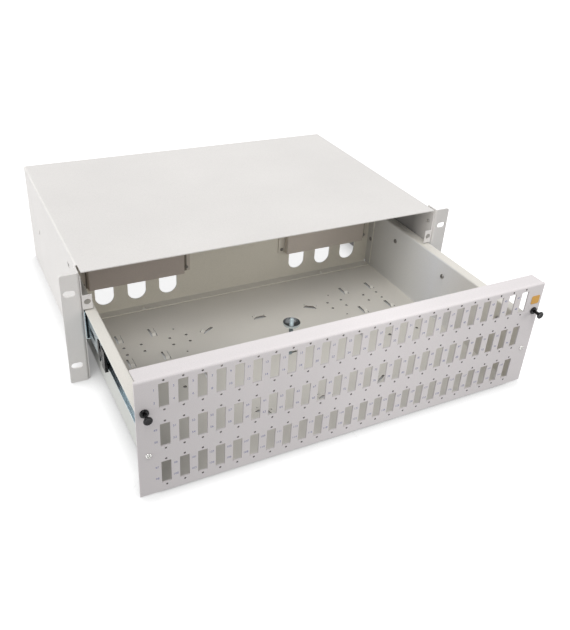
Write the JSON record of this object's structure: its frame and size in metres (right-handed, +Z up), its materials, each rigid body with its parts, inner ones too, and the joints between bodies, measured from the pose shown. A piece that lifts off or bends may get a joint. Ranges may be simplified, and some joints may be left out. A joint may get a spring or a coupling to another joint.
{
  "type": "fibre termination box",
  "caption": "Rack-mount slide-out fibre termination drawer: steel housing with rack ears, ball-slide drawer, adapter cutout panel and rear cable entries.",
  "frame": {"origin": "centre of the footprint at the foot of the housing and ears, with the drawer pulled out 186 mm", "axes": "+Z up, +Y from the adapter panel towards the rear, +X to the right as one faces the panel"},
  "size_m": [0.4826, 0.504, 0.1325],
  "materials": {
    "housing_paint": "light grey fine-texture powder coat",
    "panel_paint": "light grey fine-texture powder coat",
    "tray_paint": "light grey fine-texture powder coat",
    "cover_paint": "mid grey powder coat",
    "slide_zinc": "blue-white zinc plate",
    "cage_steel": "bare steel strip",
    "screw_steel": "nickel plate",
    "stud_zinc": "bright blue-white zinc plate",
    "black_nylon": "satin black nylon",
    "sticker_film": "plain amber adhesive film"
  },
  "bodies": {
    "housing": {"housing_shell": "housing_paint", "ear_bracket_left": "housing_paint", "ear_bracket_right": "housing_paint", "ear_screw_left_lower": "screw_steel", "ear_screw_left_upper": "screw_steel", "ear_screw_right_lower": "screw_steel", "ear_screw_right_upper": "screw_steel", "slide_outer_left": "slide_zinc", "slide_outer_right": "slide_zinc", "slide_outer_rivet_left_front": "housing_paint", "slide_outer_rivet_left_rear": "housing_paint", "slide_outer_rivet_right_front": "housing_paint", "slide_outer_rivet_right_rear": "housing_paint"},
    "drawer": {"drawer_tray": "tray_paint", "rear_panel": "tray_paint", "front_panel": "panel_paint", "rear_panel_rivet_left_floor": "screw_steel", "rear_panel_rivet_left_side": "screw_steel", "rear_panel_rivet_right_floor": "screw_steel", "rear_panel_rivet_right_side": "screw_steel", "cable_entry_cover_left": "cover_paint", "cable_entry_cover_right": "cover_paint", "cover_screw_left_inner_lower": "screw_steel", "cover_screw_left_inner_upper": "screw_steel", "cover_screw_left_outer_lower": "screw_steel", "cover_screw_left_outer_upper": "screw_steel", "cover_screw_right_inner_lower": "screw_steel", "cover_screw_right_inner_upper": "screw_steel", "cover_screw_right_outer_lower": "screw_steel", "cover_screw_right_outer_upper": "screw_steel", "slide_inner_left": "slide_zinc", "slide_inner_right": "slide_zinc", "slide_inner_screw_left_front": "screw_steel", "slide_inner_screw_left_middle": "screw_steel", "slide_inner_screw_left_rear": "screw_steel", "slide_inner_screw_right_front": "screw_steel", "slide_inner_screw_right_middle": "screw_steel", "slide_inner_screw_right_rear": "screw_steel", "panel_screw_left": "screw_steel", "panel_screw_right": "screw_steel", "latch_grommet_left": "black_nylon", "latch_grommet_right": "black_nylon", "blank_sticker": "sticker_film", "hold_down_stud": "stud_zinc"},
    "slide_middle_left": {"slide_middle_left": "slide_zinc", "slide_bumper_left": "black_nylon"},
    "ball_cage_outer_left": {"ball_cage_outer_left": "cage_steel"},
    "ball_cage_inner_left": {"ball_cage_inner_left": "cage_steel"},
    "latch_plunger_left": {"latch_plunger_left": "black_nylon"},
    "slide_release_lever_left": {"slide_release_lever_left": "black_nylon"},
    "slide_middle_right": {"slide_middle_right": "slide_zinc", "slide_bumper_right": "black_nylon"},
    "ball_cage_outer_right": {"ball_cage_outer_right": "cage_steel"},
    "ball_cage_inner_right": {"ball_cage_inner_right": "cage_steel"},
    "latch_plunger_right": {"latch_plunger_right": "black_nylon"},
    "slide_release_lever_right": {"slide_release_lever_right": "black_nylon"},
    "hold_down_nut": {"hold_down_nut": "stud_zinc"}
  },
  "joints": [
    {"name": "drawer_slide", "type": "slide", "parent": "housing", "child": "drawer", "axis": [0, -1, 0], "range_m": [-0.186, 0.062]},
    {"name": "slide_middle_left_travel", "type": "slide", "parent": "housing", "child": "slide_middle_left", "axis": [0, -1, 0], "range_m": [-0.093, 0.031]},
    {"name": "ball_cage_outer_left_travel", "type": "slide", "parent": "housing", "child": "ball_cage_outer_left", "axis": [0, -1, 0], "range_m": [-0.0465, 0.0155]},
    {"name": "ball_cage_inner_left_travel", "type": "slide", "parent": "housing", "child": "ball_cage_inner_left", "axis": [0, -1, 0], "range_m": [-0.1395, 0.0465]},
    {"name": "slide_middle_right_travel", "type": "slide", "parent": "housing", "child": "slide_middle_right", "axis": [0, -1, 0], "range_m": [-0.093, 0.031]},
    {"name": "ball_cage_outer_right_travel", "type": "slide", "parent": "housing", "child": "ball_cage_outer_right", "axis": [0, -1, 0], "range_m": [-0.0465, 0.0155]},
    {"name": "ball_cage_inner_right_travel", "type": "slide", "parent": "housing", "child": "ball_cage_inner_right", "axis": [0, -1, 0], "range_m": [-0.1395, 0.0465]},
    {"name": "latch_left_push", "type": "slide", "parent": "drawer", "child": "latch_plunger_left", "axis": [0, 1, 0], "range_m": [0, 0.0055]},
    {"name": "latch_right_push", "type": "slide", "parent": "drawer", "child": "latch_plunger_right", "axis": [0, 1, 0], "range_m": [0, 0.0055]},
    {"name": "release_lever_left_tilt", "type": "hinge", "parent": "drawer", "child": "slide_release_lever_left", "pos_m": [-0.2119, -0.108, 0.067], "axis": [1, 0, 0], "range_deg": [-5, 5], "stiffness_Nm_per_rad": 0.03},
    {"name": "release_lever_right_tilt", "type": "hinge", "parent": "drawer", "child": "slide_release_lever_right", "pos_m": [0.2119, -0.108, 0.067], "axis": [1, 0, 0], "range_deg": [-5, 5], "stiffness_Nm_per_rad": 0.03},
    {"name": "hold_down_nut_spin", "type": "hinge", "parent": "drawer", "child": "hold_down_nut", "pos_m": [0, -0.097, 0.044], "axis": [0, 0, 1], "continuous": true}
  ],
  "couplings": [
    {"joint": "slide_middle_left_travel", "follows": "drawer_slide", "ratio": 0.5},
    {"joint": "ball_cage_outer_left_travel", "follows": "drawer_slide", "ratio": 0.25},
    {"joint": "ball_cage_inner_left_travel", "follows": "drawer_slide", "ratio": 0.75},
    {"joint": "slide_middle_right_travel", "follows": "drawer_slide", "ratio": 0.5},
    {"joint": "ball_cage_outer_right_travel", "follows": "drawer_slide", "ratio": 0.25},
    {"joint": "ball_cage_inner_right_travel", "follows": "drawer_slide", "ratio": 0.75}
  ]
}
